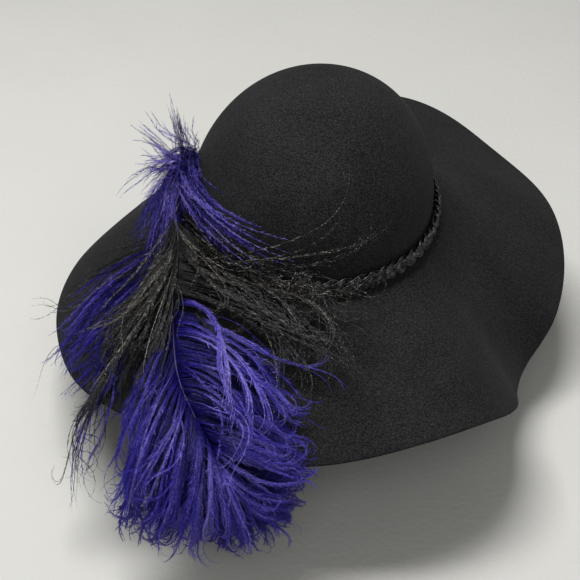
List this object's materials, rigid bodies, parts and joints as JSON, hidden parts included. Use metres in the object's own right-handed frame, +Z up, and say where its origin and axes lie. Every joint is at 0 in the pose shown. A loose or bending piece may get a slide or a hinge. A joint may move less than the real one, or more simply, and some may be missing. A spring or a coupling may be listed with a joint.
{
  "type": "cavalier hat",
  "caption": "Wide-brimmed felt cavalier hat with a round open crown, softly folded brim, braided band and ostrich plumes hanging over the left side.",
  "frame": {"origin": "centre of the crown's opening, level with the break where the crown turns into the brim", "axes": "+Z up through the crown, +Y towards the front of the hat, +X towards the wearer's right; the plumes are on the wearer's left"},
  "size_m": [0.368, 0.4595, 0.2075],
  "materials": {
    "felt": "matt black wool felt",
    "braid": "black braided cord",
    "violet_feather": "dyed ostrich feather, soft sheen",
    "black_feather": "black ostrich feather, soft sheen"
  },
  "bodies": {
    "root": {"felt_body": "felt", "braided_band": "braid", "stem_binding": "braid", "plume_violet": "violet_feather", "plume_black": "black_feather", "plume_side": "violet_feather", "tuft_violet": "violet_feather"}
  },
  "joints": []
}
